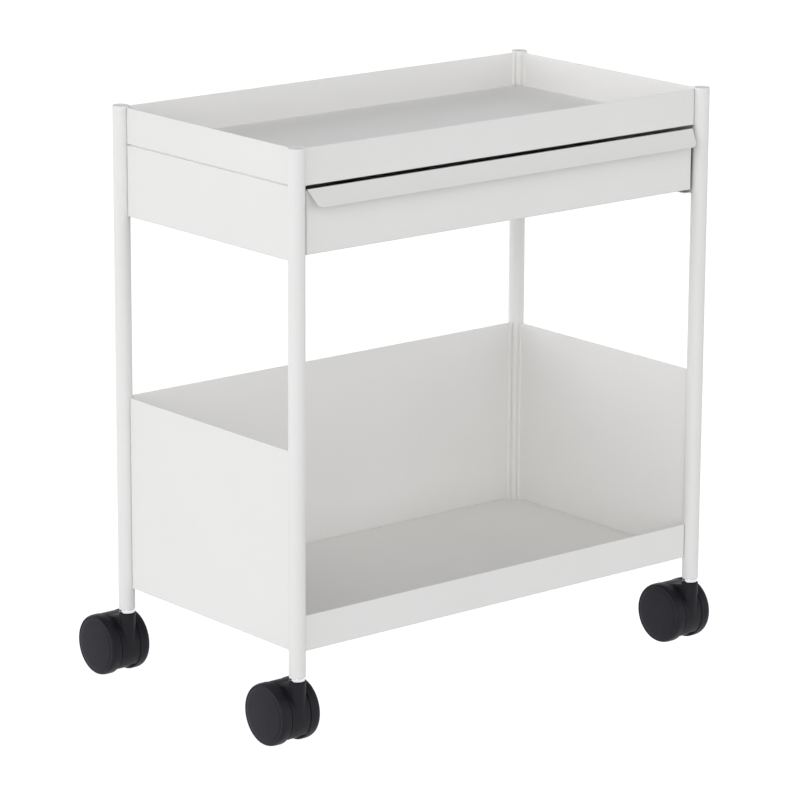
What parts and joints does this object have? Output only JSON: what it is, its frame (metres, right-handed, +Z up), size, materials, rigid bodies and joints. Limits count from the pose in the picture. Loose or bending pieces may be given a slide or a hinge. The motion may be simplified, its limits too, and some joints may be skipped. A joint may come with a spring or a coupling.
{
  "type": "mobile printer stand",
  "caption": "White steel printer stand on swivel casters: a shallow tray on top, a drawer with a full-width folded handle lip below it, and a low open box at the bottom.",
  "frame": {"origin": "on the floor, midway under the whole stand: centre of the box round it, from the handle lip at the front to the rear wheels at the back", "axes": "+Z up; +X to the right of a person facing the drawer, along the long side; -Y is the front, the way the drawer opens"},
  "size_m": [0.6834, 0.4176, 0.7086],
  "materials": {
    "white_paint": "matt white powder coat with a fine texture",
    "cap_plastic": "off-white moulded plug",
    "black_plastic": "black moulded nylon",
    "hood_plastic": "near-black moulded nylon, fine texture",
    "wheel_plastic": "near-black moulded nylon, satin on the tread",
    "chrome": "bright plated",
    "zinc_steel": "zinc plated",
    "bumper_rubber": "dark grey rubber"
  },
  "bodies": {
    "frame": {"post_front_left": "white_paint", "post_front_right": "white_paint", "post_back_left": "white_paint", "post_back_right": "white_paint", "post_cap_front_left": "cap_plastic", "post_cap_front_right": "cap_plastic", "post_cap_back_left": "cap_plastic", "post_cap_back_right": "cap_plastic", "stem_socket_front_left": "black_plastic", "stem_socket_front_right": "black_plastic", "stem_socket_back_left": "black_plastic", "stem_socket_back_right": "black_plastic", "caster_stem_front_left": "chrome", "caster_stem_front_right": "chrome", "caster_stem_back_left": "chrome", "caster_stem_back_right": "chrome", "top_tray": "white_paint", "housing_left_side": "white_paint", "housing_right_side": "white_paint", "housing_back": "white_paint", "housing_bottom": "white_paint", "housing_screws": "zinc_steel", "slide_channel_left": "zinc_steel", "slide_channel_right": "zinc_steel", "drawer_bumpers": "bumper_rubber", "lower_left_side": "white_paint", "lower_right_side": "white_paint", "lower_back": "white_paint", "base_pan": "white_paint", "base_screws": "zinc_steel"},
    "drawer": {"drawer_front": "white_paint", "drawer_front_nuts": "zinc_steel", "drawer_bottom": "white_paint", "drawer_side_left": "white_paint", "drawer_side_right": "white_paint", "drawer_inner_front": "white_paint", "drawer_back": "white_paint", "drawer_member_left": "zinc_steel", "drawer_member_right": "zinc_steel", "drawer_front_screws": "zinc_steel", "drawer_member_screws": "zinc_steel"},
    "slide_middle_left_body": {"slide_middle_left": "zinc_steel"},
    "slide_middle_right_body": {"slide_middle_right": "zinc_steel"},
    "caster_front_left": {"caster_hood_front_left": "hood_plastic", "caster_axle_front_left": "zinc_steel"},
    "wheel_front_left_outer_body": {"wheel_front_left_outer": "wheel_plastic"},
    "wheel_front_left_inner_body": {"wheel_front_left_inner": "wheel_plastic"},
    "caster_front_right": {"caster_hood_front_right": "hood_plastic", "caster_axle_front_right": "zinc_steel"},
    "wheel_front_right_outer_body": {"wheel_front_right_outer": "wheel_plastic"},
    "wheel_front_right_inner_body": {"wheel_front_right_inner": "wheel_plastic"},
    "caster_back_left": {"caster_hood_back_left": "hood_plastic", "caster_axle_back_left": "zinc_steel"},
    "wheel_back_left_outer_body": {"wheel_back_left_outer": "wheel_plastic"},
    "wheel_back_left_inner_body": {"wheel_back_left_inner": "wheel_plastic"},
    "caster_back_right": {"caster_hood_back_right": "hood_plastic", "caster_axle_back_right": "zinc_steel"},
    "wheel_back_right_outer_body": {"wheel_back_right_outer": "wheel_plastic"},
    "wheel_back_right_inner_body": {"wheel_back_right_inner": "wheel_plastic"}
  },
  "joints": [
    {"name": "drawer_slide", "type": "slide", "parent": "frame", "child": "drawer", "axis": [0, -1, 0], "range_m": [0, 0.25]},
    {"name": "slide_middle_left_slide", "type": "slide", "parent": "frame", "child": "slide_middle_left_body", "axis": [0, -1, 0], "range_m": [0, 0.125]},
    {"name": "slide_middle_right_slide", "type": "slide", "parent": "frame", "child": "slide_middle_right_body", "axis": [0, -1, 0], "range_m": [0, 0.125]},
    {"name": "caster_front_left_swivel", "type": "hinge", "parent": "frame", "child": "caster_front_left", "pos_m": [-0.3125, -0.19265, 0.078], "axis": [0, 0, 1], "continuous": true},
    {"name": "wheel_front_left_outer_spin", "type": "hinge", "parent": "caster_front_left", "child": "wheel_front_left_outer_body", "pos_m": [-0.3125, -0.16465, 0.0375], "axis": [1, 0, 0], "continuous": true},
    {"name": "wheel_front_left_inner_spin", "type": "hinge", "parent": "caster_front_left", "child": "wheel_front_left_inner_body", "pos_m": [-0.3125, -0.16465, 0.0375], "axis": [1, 0, 0], "continuous": true},
    {"name": "caster_front_right_swivel", "type": "hinge", "parent": "frame", "child": "caster_front_right", "pos_m": [0.3125, -0.19265, 0.078], "axis": [0, 0, 1], "continuous": true},
    {"name": "wheel_front_right_outer_spin", "type": "hinge", "parent": "caster_front_right", "child": "wheel_front_right_outer_body", "pos_m": [0.3125, -0.16465, 0.0375], "axis": [1, 0, 0], "continuous": true},
    {"name": "wheel_front_right_inner_spin", "type": "hinge", "parent": "caster_front_right", "child": "wheel_front_right_inner_body", "pos_m": [0.3125, -0.16465, 0.0375], "axis": [1, 0, 0], "continuous": true},
    {"name": "caster_back_left_swivel", "type": "hinge", "parent": "frame", "child": "caster_back_left", "pos_m": [-0.3125, 0.14335, 0.078], "axis": [0, 0, 1], "continuous": true},
    {"name": "wheel_back_left_outer_spin", "type": "hinge", "parent": "caster_back_left", "child": "wheel_back_left_outer_body", "pos_m": [-0.3125, 0.17135, 0.0375], "axis": [1, 0, 0], "continuous": true},
    {"name": "wheel_back_left_inner_spin", "type": "hinge", "parent": "caster_back_left", "child": "wheel_back_left_inner_body", "pos_m": [-0.3125, 0.17135, 0.0375], "axis": [1, 0, 0], "continuous": true},
    {"name": "caster_back_right_swivel", "type": "hinge", "parent": "frame", "child": "caster_back_right", "pos_m": [0.3125, 0.14335, 0.078], "axis": [0, 0, 1], "continuous": true},
    {"name": "wheel_back_right_outer_spin", "type": "hinge", "parent": "caster_back_right", "child": "wheel_back_right_outer_body", "pos_m": [0.3125, 0.17135, 0.0375], "axis": [1, 0, 0], "continuous": true},
    {"name": "wheel_back_right_inner_spin", "type": "hinge", "parent": "caster_back_right", "child": "wheel_back_right_inner_body", "pos_m": [0.3125, 0.17135, 0.0375], "axis": [1, 0, 0], "continuous": true}
  ],
  "couplings": [
    {"joint": "slide_middle_left_slide", "follows": "drawer_slide", "ratio": 0.5},
    {"joint": "slide_middle_right_slide", "follows": "drawer_slide", "ratio": 0.5}
  ]
}
